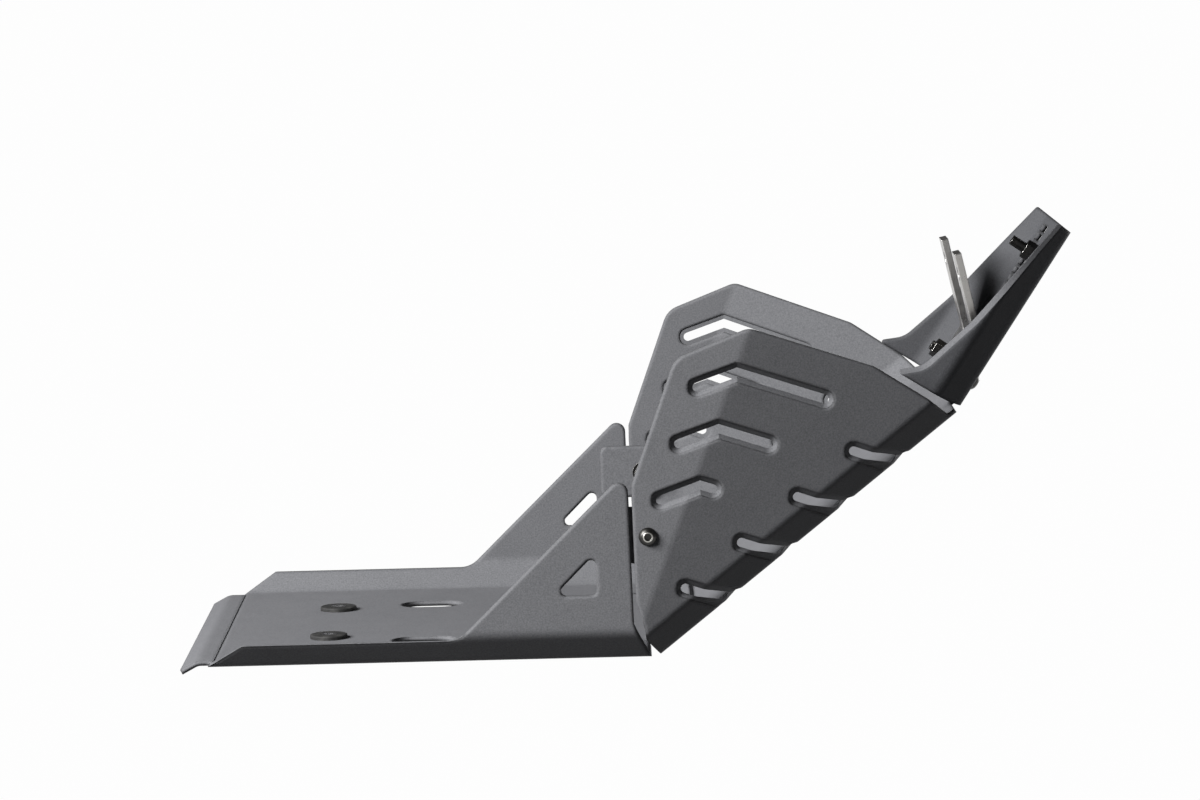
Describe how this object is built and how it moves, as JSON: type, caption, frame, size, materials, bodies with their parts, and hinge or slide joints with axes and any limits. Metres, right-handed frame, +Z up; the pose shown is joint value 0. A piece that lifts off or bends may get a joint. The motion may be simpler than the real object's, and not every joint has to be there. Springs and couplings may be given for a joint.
{
  "type": "engine guard",
  "caption": "Motorbike engine guard of folded black sheet: a flat belly panel with side gussets, a slotted sloping middle panel and a narrow upper panel hung on straps",
  "frame": {"origin": "midway between the two rear mounts, on the underside of the belly panel", "axes": "+X forward along the belly panel, +Y to the left-hand side, +Z up"},
  "size_m": [0.5189, 0.3106, 0.2413],
  "materials": {
    "powder_black": "fine textured powder coat",
    "screw_black": "black oxide",
    "strap_steel": "zinc plated",
    "rubber": "matt",
    "sleeve_alloy": "turned"
  },
  "bodies": {
    "root": {"belly_panel": "powder_black", "middle_panel": "powder_black", "upper_panel": "powder_black", "joint_plate_right": "powder_black", "joint_plate_left": "powder_black", "hanger_strap_right": "strap_steel", "hanger_strap_left": "strap_steel", "hanger_screws": "screw_black", "hanger_nuts": "screw_black", "lower_joint_screws": "screw_black", "lower_joint_nuts": "screw_black", "upper_screw": "screw_black", "upper_nut": "screw_black", "side_screws": "screw_black", "side_nuts": "screw_black", "rear_grommets": "rubber", "rear_sleeves": "sleeve_alloy"}
  },
  "joints": []
}
